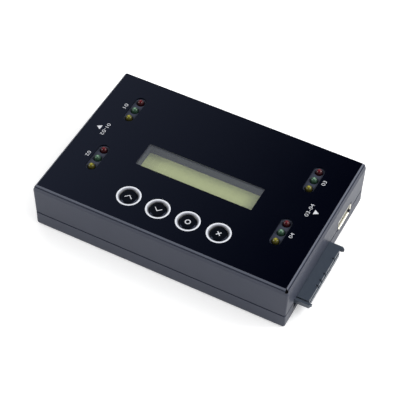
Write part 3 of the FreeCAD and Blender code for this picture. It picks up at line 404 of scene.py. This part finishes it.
FINISHES.update({
    "foot_rubber": silicone_rubber(),
    "key_plastic": key_moulding(),
    "switch_black": plain_moulding("nylon_black", "#131416", "#1A1B1D", 0.5),
    "socket_plastic": plain_moulding("lcp_dark_grey", "#3A424E", "#414A56", 0.34, 0.5, 0.005),
    "tongue_white": plain_moulding("lcp_white", "#DBDAD2", "#E3E2DA", 0.45),
    "backlight_white": plain_moulding("acrylic_diffuser_white", "#D6DAD6", "#E0E3DF", 0.4),
    "capacitor_sleeve": plain_moulding("pet_shrink_sleeve", "#12182A", "#182038", 0.3),
})
print("finishes:", len(FINISHES))

# %% [markdown]
# ## Panel, pane and display
# The black panel is a polycarbonate sheet, printed black on its back: deep and even,
# with a soft gloss. What we see on it is mostly mirrored room, so its base colour is
# close to black and its roughness decides how far the reflections blur. The clear pane
# is mostly see-through alpha, because a thin flat window bends nothing that the eye
# could notice, and alpha lets the light reach the display. Under the pane a polariser
# film covers the character cells, which show as a faint grid even when nothing is on.

# %% Panel, pane and display
def printed_polycarbonate():
    """Back-printed polycarbonate, IOR 1.58: near black, wiped smooth, faint handling haze."""
    material, tree, shader, place = finish_of("polycarbonate_printed_black", "#000109", 0.14, {
        "IOR": 1.58, "Specular Tint": linear("#B9CCFF")})
    vary(tree, shader, place, "Roughness", 14.0, 0.12, 0.17)
    return material


def clear_acrylic():
    """Thin clear pane: little of it is opaque, and that little is cool grey and shiny."""
    material, tree, shader, place = finish_of("acrylic_clear_pane", "#7C8088", 0.06,
                                              {"IOR": 1.49, "Alpha": 0.18})
    vary(tree, shader, place, "Roughness", 8.0, 0.04, 0.10)
    return material


CELL_PITCH = (3.55, 5.95)    # mm, a 16 x 2 character display
CELL_GAP = 0.6               # mm between two characters


def display_film():
    """Polariser film over faint character cells: a brick pattern with no offset."""
    material, tree, shader, place = finish_of("lcd_film_grey_green", "#CCD696", 0.35,
                                              {"IOR": 1.5})
    centre = middle("display_glass")
    mapping = add_node(tree, "Mapping", {"Location": (-centre.x, -centre.y, 0)},
                       {"Vector": place})
    cells = add_node(tree, "TexBrick", {
        "offset": 0.0, "Scale": 1.0,
        "Color1": linear("#CCD696"), "Color2": linear("#CCD696"), "Mortar": linear("#D3DD9D"),
        "Mortar Size": CELL_GAP / 2 * MM, "Mortar Smooth": 0.3,
        "Brick Width": CELL_PITCH[0] * MM, "Row Height": CELL_PITCH[1] * MM,
    }, {"Vector": mapping.outputs[0]})
    tree.links.new(cells.outputs["Color"], shader.inputs["Base Color"])
    return material


FINISHES["panel_gloss"] = printed_polycarbonate()
FINISHES["clear_pane"] = clear_acrylic()
FINISHES["display_film"] = display_film()
print("display cell pitch:", CELL_PITCH, "mm")

# %% [markdown]
# ## Bright rings
# Each key sits in a satin ring with a pale crest. Below the crest the colour is painted
# shade: grey on the slope, and black in the throat towards the key. All of it is one
# moulding, so the painted shade follows the height, through a colour ramp between the
# deepest point and the crest.

# %% Bright rings
RING_CREST_AND_SHADE = (              # mm under the panel's face, colour: the crest's own, painted shade below it
    (0.70, "#08090C"), (0.50, "#24262C"), (0.38, "#6A6C76"), (0.10, "#8E909A"),
    (-0.02, "#DCDFE6"),
)


def satin_ring():
    """Satin ABS: pale crest, painted shade grey on the slope and dark in the throat, by height.
    """
    material, tree, shader, place = finish_of("abs_satin_ring", "#9A9CA6", 0.42, {"IOR": 1.5})
    deepest = RING_CREST_AND_SHADE[0][0]
    span = deepest - RING_CREST_AND_SHADE[-1][0]
    height = add_node(tree, "SeparateXYZ", links={0: place}).outputs["Z"]
    share = add_node(tree, "MapRange", {"From Min": PANEL_FACE - deepest * MM,
                                        "From Max": PANEL_FACE + (span - deepest) * MM,
                                        "To Min": 0.0, "To Max": 1.0}, {"Value": height})
    # painted shade deepens down the slope and into the throat
    shades = add_node(tree, "ValToRGB", links={"Fac": share.outputs[0]})
    stops = shades.color_ramp.elements
    stops[1].position, stops[1].color = 1.0, linear(RING_CREST_AND_SHADE[-1][1])
    stops[0].position, stops[0].color = 0.0, linear(RING_CREST_AND_SHADE[0][1])
    for depth, shade in RING_CREST_AND_SHADE[1:-1]:
        stops.new((deepest - depth) / span).color = linear(shade)
    tree.links.new(shades.outputs["Color"], shader.inputs["Base Color"])
    vary(tree, shader, place, "Roughness", 2.0, 0.38, 0.48)
    return material


FINISHES["ring_plastic"] = satin_ring()
print("ring shades over", round(RING_CREST_AND_SHADE[0][0] - RING_CREST_AND_SHADE[-1][0], 2), "mm of height")

# %% [markdown]
# ## Metal
# The USB shells are plated steel, the contacts are gold flashed, and the screws are dark
# zinc. A metal keeps the default IOR, because its colour comes from the base colour;
# what sells it is roughness that follows how the sheet was rolled or the screw was
# turned. A shell's colour is painted shade inside it, and steps up to the plating's own
# bright colour on the lips near its mouth.

# %% Metal
ROLL_LINE = 0.25             # mm, width of the lines that rolling leaves
ALONG_X = (0.05, 1.0, 1.0)   # a twentieth of the X coordinate draws the noise out along X
ALONG_Y = (1.0, 0.05, 1.0)
UPRIGHT = (1.0, 1.0, 0.1)
MOUTH_EDGE = 0.5 * MM        # bright edge of the lips, measured back from the shell's front; behind it, painted shade


def sheet_metal(name, hex_colour, roughness, stretch):
    """Rolled metal: noise drawn out along one axis gives fine parallel lines.

    Roughness goes from 0.8 to 1.3 of the given value, and the relief is 0.004 mm.
    """
    material, tree, shader, place = finish_of(name, hex_colour, roughness, {"Metallic": 1.0})
    lines = add_node(tree, "Mapping", {"Scale": stretch}, {"Vector": place})
    noise = add_node(tree, "TexNoise", {"Scale": per_mm(ROLL_LINE), "Detail": 2.0},
                     {"Vector": lines.outputs[0]})
    rough = add_node(tree, "MapRange", {"To Min": roughness * 0.8, "To Max": roughness * 1.3},
                     {"Value": noise.outputs[0]})
    bump = add_node(tree, "Bump", {"Strength": 0.4, "Distance": 0.004 * MM},
                    {"Height": noise.outputs[0]})
    tree.links.new(rough.outputs[0], shader.inputs["Roughness"])
    tree.links.new(bump.outputs["Normal"], shader.inputs["Normal"])
    return material


def shade_shell_inside(material):
    """Painted shade inside, bright lips: two colours over distance from the middle plane, a short
    straight rise.
    """
    tree = material.node_tree
    place = add_node(tree, "TexCoord").outputs["Object"]
    across = add_node(tree, "SeparateXYZ", links={0: place}).outputs["X"]
    out = add_node(tree, "Math", {"operation": "ABSOLUTE"}, {0: across}).outputs[0]
    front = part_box("target_usb_shell")[1].x
    lips = add_node(tree, "MapRange", {"From Min": front - MOUTH_EDGE,
                                       "From Max": front - MOUTH_EDGE / 2,
                                       "To Min": 0.0, "To Max": 1.0}, {"Value": out})
    # painted shade inside the shell, the plating's own bright colour on the lips
    shade = add_node(tree, "Mix", {"data_type": "RGBA", 6: linear("#8A877A"),
                                   7: linear("#F1EEE2")}, {0: lips.outputs[0]})
    tree.links.new(shade.outputs[2], tree.nodes["Principled BSDF"].inputs["Base Color"])


FINISHES["usb_steel"] = sheet_metal("steel_bright_nickel", "#A39F93", 0.42, ALONG_X)
shade_shell_inside(FINISHES["usb_steel"])
FINISHES["bezel_steel"] = plain_moulding("steel_black_painted", "#33363B", "#3C3F44", 0.4)
FINISHES["screw_steel"] = sheet_metal("steel_dark_zinc", "#6A6B70", 0.34, UPRIGHT)
FINISHES["contact_gold"] = sheet_metal("bronze_gold_flashed", "#D9B45A", 0.25, ALONG_X)
FINISHES["inlet_pin"] = sheet_metal("brass_nickel_plated", "#C9C4B2", 0.25, ALONG_Y)
print("finishes with the metals:", len(FINISHES))

# %% [markdown]
# ## Circuit boards
# Solder mask is a glossy green lacquer over copper tracks that show as slightly lighter
# lines. The mortar of a brick pattern stands for the tracks: nobody sees more than its
# rhythm through the sockets' openings.

# %% Circuit boards
TRACK_PITCH = 1.27 * MM
TRACK_HALF = 0.12 * MM       # half the width of a track
TRACK_LONG = 4 * TRACK_PITCH     # from one cross track to the next


def solder_mask():
    """Green lacquer: a brick pattern with rows one track pitch high and thin mortar."""
    material, tree, shader, place = finish_of("solder_mask_green", "#0F3D22", 0.3, {"IOR": 1.5})
    tracks = add_node(tree, "TexBrick", {
        "Scale": 1.0, "Color1": linear("#0D381F"), "Color2": linear("#0F4024"),
        "Mortar": linear("#175230"), "Mortar Size": TRACK_HALF,
        "Brick Width": TRACK_LONG, "Row Height": TRACK_PITCH,
    }, {"Vector": place})
    tree.links.new(tracks.outputs["Color"], shader.inputs["Base Color"])
    return material


FINISHES["board_green"] = solder_mask()
print("track pitch in mm:", round(TRACK_PITCH / MM, 2))

# %% [markdown]
# ## Status lights
# A 3 mm lamp is cast epoxy: a tinted dome over a metal cup. Through the dome the cup
# looks like a small bright spot. The resin's colour paints it: a painted glint, lighter
# round the lamp's own axis, and painted shade, deeper at its rim. Each lamp gets a
# material centred on itself, because the spot has to sit on that lamp's axis. Below the
# top of the board the same solid is the lamp's tinned legs, picked out by height.

# %% Status lights
LAMP_TINT_AND_PAINTED_LIGHT = {              # painted-shade rim, own-tint body and painted-glint centre of the resin
    "red": ("#28070C", "#4A0D15", "#6C2A32"),
    "green": ("#22392B", "#385844", "#7C9C87"),
    "yellow": ("#38350E", "#625F18", "#9E9940"),
}
LAMP_STOPS = (0.95, 0.45, 0.12)  # where these shades lie, in lamp radii from the axis
LAMP_RADIUS = 1.5 * MM
LEG_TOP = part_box("panel_board")[1].z


def epoxy_lamp(node, shades):
    """Resin with painted light by distance from the axis: light centre, dark rim; tinned below
    the board's top.
    """
    rim, body, heart = [linear(shade) for shade in shades]
    material, tree, shader, place = finish_of("epoxy_" + node, shades[1], 0.16,
                                              {"IOR": 1.55, "Specular IOR Level": 0.32})
    centre = middle(node)
    moved = add_node(tree, "Mapping", {"Location": (-centre.x, -centre.y, 0),
                                       "Scale": (1, 1, 0)}, {"Vector": place})
    away = add_node(tree, "VectorMath", {"operation": "LENGTH"}, {0: moved.outputs[0]})
    share = add_node(tree, "Math", {"operation": "DIVIDE", 1: LAMP_RADIUS},
                     {0: away.outputs["Value"]})
    # painted light: a lighter centre for the cup's glint, painted shade at the rim
    resin = add_node(tree, "ValToRGB", links={"Fac": share.outputs[0]})
    stops = resin.color_ramp.elements
    stops[0].position, stops[0].color = LAMP_STOPS[2], heart
    stops[1].position, stops[1].color = LAMP_STOPS[0], rim
    stops.new(LAMP_STOPS[1]).color = body
    height = add_node(tree, "SeparateXYZ", links={0: place}).outputs["Z"]
    is_resin = add_node(tree, "Math", {"operation": "GREATER_THAN", 1: LEG_TOP}, {0: height})
    colour = add_node(tree, "Mix", {"data_type": "RGBA", 6: linear("#B9B9B4")},
                      {0: is_resin.outputs[0], 7: resin.outputs["Color"]})
    tree.links.new(colour.outputs[2], shader.inputs["Base Color"])
    vary(tree, shader, place, "Roughness", 1.0, 0.12, 0.2)
    return material


lamp_nodes = sorted(n for n in frame["nodes"] if n.endswith("_led"))
for node in lamp_nodes:
    shades = LAMP_TINT_AND_PAINTED_LIGHT[node.split("_")[-2]]
    frame["nodes"][node].data.materials.clear()
    frame["nodes"][node].data.materials.append(epoxy_lamp(node, shades))
print("lamps with their own resin:", len(lamp_nodes))

# %% [markdown]
# ## Dress the solids
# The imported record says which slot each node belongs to. One loop hands every node the
# finish of its slot, so no node is missed.

# %% Dress the solids
slot_of = {part["node"]: part["material_slot"] for part in frame["record"]["subparts"]}
for node, body in frame["nodes"].items():
    if node in lamp_nodes:
        continue
    body.data.materials.clear()
    body.data.materials.append(FINISHES[slot_of[node]])
print("dressed", len(frame["nodes"]), "nodes")

# %% [markdown]
# ## Printed marks
# White ink is screen printed on the panel and on the keys. Ink has thickness, so the
# marks are real plates a few hundredths of a millimetre high. A flat mark is a prism
# over a short outline, and a ring or a bent strip is a section carried along a path. All
# corners are worked out as one array, and the faces follow from a grid of numbers.

# %% Ink, plates and strips
INK_HEIGHT = 0.03 * MM
INK_SINK = 0.005 * MM        # ink reaches this far into the panel, so nothing floats
WELD = 0.0005 * MM           # corners nearer than this are one corner


def screen_ink():
    """White two-part ink: matt, slightly uneven in cover."""
    material, tree, shader, place = finish_of("screen_ink_white", "#D2D4D9", 0.6, {"IOR": 1.5})
    vary(tree, shader, place, "Base Color", 0.4, "#BFC1C8", "#D6D8DD")
    return material


INK = screen_ink()


def new_piece(name, mesh, body, material):
    """Links a mesh as a piece that rides on a body, with outward faces."""
    work = bmesh.new()
    work.from_mesh(mesh)
    bmesh.ops.remove_doubles(work, verts=work.verts, dist=WELD)
    bmesh.ops.recalc_face_normals(work, faces=work.faces)
    work.to_mesh(mesh)
    work.free()
    piece = bpy.data.objects.new(name, mesh)
    bpy.context.scene.collection.objects.link(piece)
    mesh.materials.clear()
    mesh.materials.append(material)
    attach(piece, body)
    return piece


def prism(name, outline, low, high):
    """Closed plate: the outline at two heights, joined by side faces, capped at both ends."""
    outline = np.asarray(outline, float)
    count = len(outline)
    points = np.vstack([np.column_stack([outline, np.full(count, z)]) for z in (low, high)])
    ring = np.arange(count)
    after = (ring + 1) % count
    sides = np.column_stack([ring, after, after + count, ring + count]).tolist()
    mesh = bpy.data.meshes.new(name)
    mesh.from_pydata(points.tolist(), [], sides + [ring[::-1].tolist(), (ring + count).tolist()])
    return mesh


def tube_mesh(name, rings, closed=False):
    """Joins rings of equally many points: face i, j has corners from rings i and i + 1.

    A closed tube joins its last ring to its first; an open one gets a cap at each end.
    """
    count, steps = rings.shape[:2]
    i, j = np.meshgrid(np.arange(count if closed else count - 1), np.arange(steps), indexing="ij")
    after_i, after_j = (i + 1) % count, (j + 1) % steps
    faces = np.stack([i * steps + j, i * steps + after_j,
                      after_i * steps + after_j, after_i * steps + j], -1).reshape(-1, 4).tolist()
    if not closed:
        faces += [list(range(steps))[::-1], list(range((count - 1) * steps, count * steps))]
    mesh = bpy.data.meshes.new(name)
    mesh.from_pydata(rings.reshape(-1, 3).tolist(), [], faces)
    return mesh


print("ink height in mm:", round(INK_HEIGHT / MM, 3))

# %% [markdown]
# ## Numerals and arrow heads
# Small numerals stand beside each port, and a numeral pair with an arrow head on each
# side. They are printed across the panel, so they read from its short sides. A font
# curve gives the strokes. It is made a mesh first, and its points are then stretched
# over the rectangle that the numeral fills.

# %% Numerals
STROKE_OFFSET = -0.010       # thins the font's strokes, in units of the letter size


def numerals(name, text, low, high, reads, face):
    """Text that fills the rectangle low..high and runs along +Y (reads = 1) or -Y (-1).

    Each point's share of the text's box, from 0 to 1, becomes the same share of the
    rectangle, turned by a quarter: the share along the text goes with Y, and the share
    up the letter goes against X. For reads = -1 both are reversed.
    """
    curve = bpy.data.curves.new(name, "FONT")
    curve.body = text
    curve.extrude = 0.5          # any thickness will do: the stretch below sets it
    curve.offset = STROKE_OFFSET
    holder = bpy.data.objects.new(name, curve)
    bpy.context.scene.collection.objects.link(holder)
    bpy.context.view_layer.update()
    graph = bpy.context.evaluated_depsgraph_get()
    mesh = bpy.data.meshes.new_from_object(holder.evaluated_get(graph))
    bpy.data.objects.remove(holder)
    count = len(mesh.vertices)
    flat = np.empty(count * 3)
    mesh.vertices.foreach_get("co", flat)
    flat = flat.reshape(-1, 3)
    share = (flat - flat.min(0)) / (flat.max(0) - flat.min(0))
    (x0, y0), (x1, y1) = low, high
    along = share[:, 0] if reads > 0 else 1 - share[:, 0]
    across = 1 - share[:, 1] if reads > 0 else share[:, 1]
    placed = np.column_stack([x0 + across * (x1 - x0), y0 + along * (y1 - y0),
                              face - INK_SINK + share[:, 2] * INK_HEIGHT])
    mesh.vertices.foreach_set("co", placed.ravel())
    return mesh


print("stroke offset:", STROKE_OFFSET)

# %% Marks on the panel
LAMP_OUT = 4.0 * MM          # from a lamp group's axis to the inner side of its numeral
NUMERAL_TALL = 1.7 * MM
NUMERAL_LONG = 2.9 * MM
PAIR_IN = 8.6 * MM           # from the panel's end to the inner side of the numeral pair
PAIR_LONG = 7.6 * MM
PAIR_MIDDLE_Y = 3.6 * MM
ARROW_TIP_IN = 5.0 * MM      # from the panel's end to the arrow's tip
ARROW_LONG = 2.2 * MM
ARROW_HALF = 1.4 * MM
PORTS = (("source_usb", "01"), ("source_drive", "02"),
         ("target_usb", "03"), ("target_drive", "04"))

marks = []
for port, text in PORTS:
    lamp = middle(port + "_green_led")
    side = math.copysign(1, lamp.x)
    xs = sorted((lamp.x + side * LAMP_OUT, lamp.x + side * (LAMP_OUT + NUMERAL_TALL)))
    ys = (lamp.y - NUMERAL_LONG / 2, lamp.y + NUMERAL_LONG / 2)
    name = "port_numeral_" + text
    mesh = numerals(name, text, (xs[0], ys[0]), (xs[1], ys[1]), side, PANEL_FACE)
    marks.append(new_piece(name, mesh, "case", INK))

for side, text in ((-1, "01-02"), (1, "03-04")):
    name = "left" if side < 0 else "right"
    edge = side * PANEL_HALF.x
    xs = sorted((edge - side * PAIR_IN, edge - side * (PAIR_IN + NUMERAL_TALL)))
    ys = (PAIR_MIDDLE_Y - PAIR_LONG / 2, PAIR_MIDDLE_Y + PAIR_LONG / 2)
    mesh = numerals(name + "_pair", text, (xs[0], ys[0]), (xs[1], ys[1]), side, PANEL_FACE)
    marks.append(new_piece(name + "_pair_numerals", mesh, "case", INK))
    tip = edge - side * ARROW_TIP_IN
    arrow = [(tip, PAIR_MIDDLE_Y), (tip - side * ARROW_LONG, PAIR_MIDDLE_Y + ARROW_HALF),
             (tip - side * ARROW_LONG, PAIR_MIDDLE_Y - ARROW_HALF)]
    mesh = prism(name + "_arrow", arrow, PANEL_FACE - INK_SINK, PANEL_FACE + INK_HEIGHT)
    marks.append(new_piece(name + "_arrow", mesh, "case", INK))
print("panel marks:", len(marks))

# %% [markdown]
# ## Signs on the keys
# Each key carries a sign in the same ink: arrow heads for up and down, a ring to accept
# and a cross to cancel. They ride with their keys, so a pressed key takes its sign along.

# %% Signs on the keys
SIGN_R = 1.3 * MM            # reach of the ring and of the cross's arms
SIGN_LINE = 0.42 * MM
CHEVRON_HALF = 1.7 * MM
CHEVRON_TALL = 0.8 * MM      # half the rise of each bar
CHEVRON_BAR = 1.15 * SIGN_LINE   # upright thickness; a slanting bar looks thinner than that
RING_STEPS = 48


def chevron(centre, upward):
    """Two bars that meet in the middle: an angle, and the same angle one bar lower."""
    way = 1 if upward else -1
    across = np.array([-1, 0, 1, 1, 0, -1]) * CHEVRON_HALF
    rise = np.array([-1, 1, -1, -1, 1, -1]) * CHEVRON_TALL
    along = rise + np.array([1, 1, 1, -1, -1, -1]) * CHEVRON_BAR / 2
    return np.column_stack([centre.x + across, centre.y + way * along])


def cross(centre):
    """Diagonal cross: a quarter of three corners, turned by 45, 135, 225 and 315 degrees."""
    reach, half = SIGN_R, SIGN_LINE / 2
    quarter = np.array([(half, half), (half, reach), (-half, reach)])
    angle = np.arange(4)[:, None] * math.pi / 2 + math.pi / 4
    x = quarter[:, 0] * np.cos(angle) - quarter[:, 1] * np.sin(angle)
    y = quarter[:, 0] * np.sin(angle) + quarter[:, 1] * np.cos(angle)
    return np.column_stack([centre.x + x.ravel(), centre.y + y.ravel()])


def ring_plate(name, centre, low, high):
    """Flat ring: point i, j is corner i of a rectangle section, at angle j of the circle."""
    turn = np.linspace(0, math.tau, RING_STEPS, endpoint=False)
    radius = np.array([SIGN_R - SIGN_LINE, SIGN_R, SIGN_R, SIGN_R - SIGN_LINE])[:, None]
    level = np.array([low, low, high, high])[:, None]
    rings = np.stack([centre.x + radius * np.cos(turn), centre.y + radius * np.sin(turn),
                      np.broadcast_to(level, (4, RING_STEPS))], axis=-1)
    return tube_mesh(name, rings, closed=True)


KEYS = ("up", "down", "ok", "cancel")
for key in KEYS:
    centre = middle(key + "_key")
    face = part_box(key + "_key")[1].z
    low, high = face - INK_SINK, face + INK_HEIGHT
    if key == "ok":
        mesh = ring_plate(key + "_sign", centre, low, high)
    elif key == "cancel":
        mesh = prism(key + "_sign", cross(centre), low, high)
    else:
        mesh = prism(key + "_sign", chevron(centre, key == "up"), low, high)
    new_piece(key + "_sign", mesh, key + "_button", INK)
print("key signs:", len(KEYS))

# %% [markdown]
# ## Spring leaves in the USB sockets
# A USB socket grips its plug with four leaves pressed out of the shell: two in its floor
# and two in its roof. Each leaf is a strip that rises into the mouth and comes back. A
# profile carried along a curve gives it real thickness, so it catches the light at its
# crown; the open cut round it is painted shade, a thin dark plate laid on the shell's inner face.

# %% Spring leaves
SPRING_BACK = 3.6 * MM       # from the shell's front edge to the leaf's middle
SPRING_APART = 2.9 * MM      # from the socket's middle line to the leaf's middle line
SPRING_LONG = 3.8 * MM
SPRING_WIDE = 1.5 * MM
SPRING_RISE = 0.5 * MM
SPRING_SHEET = 0.12 * MM
SPRING_STEPS = 17            # sections along the leaf
CUT_ROOM = 0.3 * MM          # open cut round the leaf
SHELL_FLARE = 0.45 * MM      # lips outside the shell's tube
SHELL_SHEET = 0.35 * MM


def leaf(name, x, y, face, inward):
    """Strip along X: at share u its height is SPRING_RISE * (1 - cos(2 pi u)) / 2.

    Its section is a rectangle, SPRING_WIDE across and SPRING_SHEET thick.
    """
    share = np.linspace(0, 1, SPRING_STEPS)
    along = x + (share - 0.5) * SPRING_LONG
    rise = SPRING_RISE * (1 - np.cos(math.tau * share)) / 2
    corners = ((-1, 0), (1, 0), (1, 1), (-1, 1))
    rings = np.stack([np.column_stack([
        along, np.full(share.size, y + side * SPRING_WIDE / 2),
        face + inward * (rise + layer * SPRING_SHEET)]) for side, layer in corners], axis=1)
    return tube_mesh(name, rings)


def spring_cut_shade(name, x, y, face, inward):
    """Painted shade for the open cut: a dark plate a few hundredths of a mm thick, larger than
    the leaf by the cut.
    """
    half_x, half_y = SPRING_LONG / 2 + CUT_ROOM, SPRING_WIDE / 2 + CUT_ROOM
    outline = [(x - half_x, y - half_y), (x + half_x, y - half_y),
               (x + half_x, y + half_y), (x - half_x, y + half_y)]
    return prism(name, outline, *sorted((face - inward * INK_SINK, face + inward * INK_HEIGHT)))


leaves = []
for port in ("target_usb", "source_usb"):
    low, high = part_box(port + "_shell")
    side = math.copysign(1, low.x + high.x)
    x = side * (max(abs(low.x), abs(high.x)) - SPRING_BACK)
    wall = SHELL_FLARE + SHELL_SHEET
    for level, face, inward in (("floor", low.z + wall, 1), ("roof", high.z - wall, -1)):
        for row, shift in (("front", -SPRING_APART), ("back", SPRING_APART)):
            name = "_".join((port, level, row))
            y = (low.y + high.y) / 2 + shift
            # the dark plate is painted shade where the cut opens
            new_piece(name + "_cut_shade", spring_cut_shade(name, x, y, face, inward), "case",
                      FINISHES["switch_black"])
            leaves.append(new_piece(name + "_leaf", leaf(name, x, y, face, inward), "case",
                                    FINISHES["usb_steel"]))
print("spring leaves:", len(leaves))
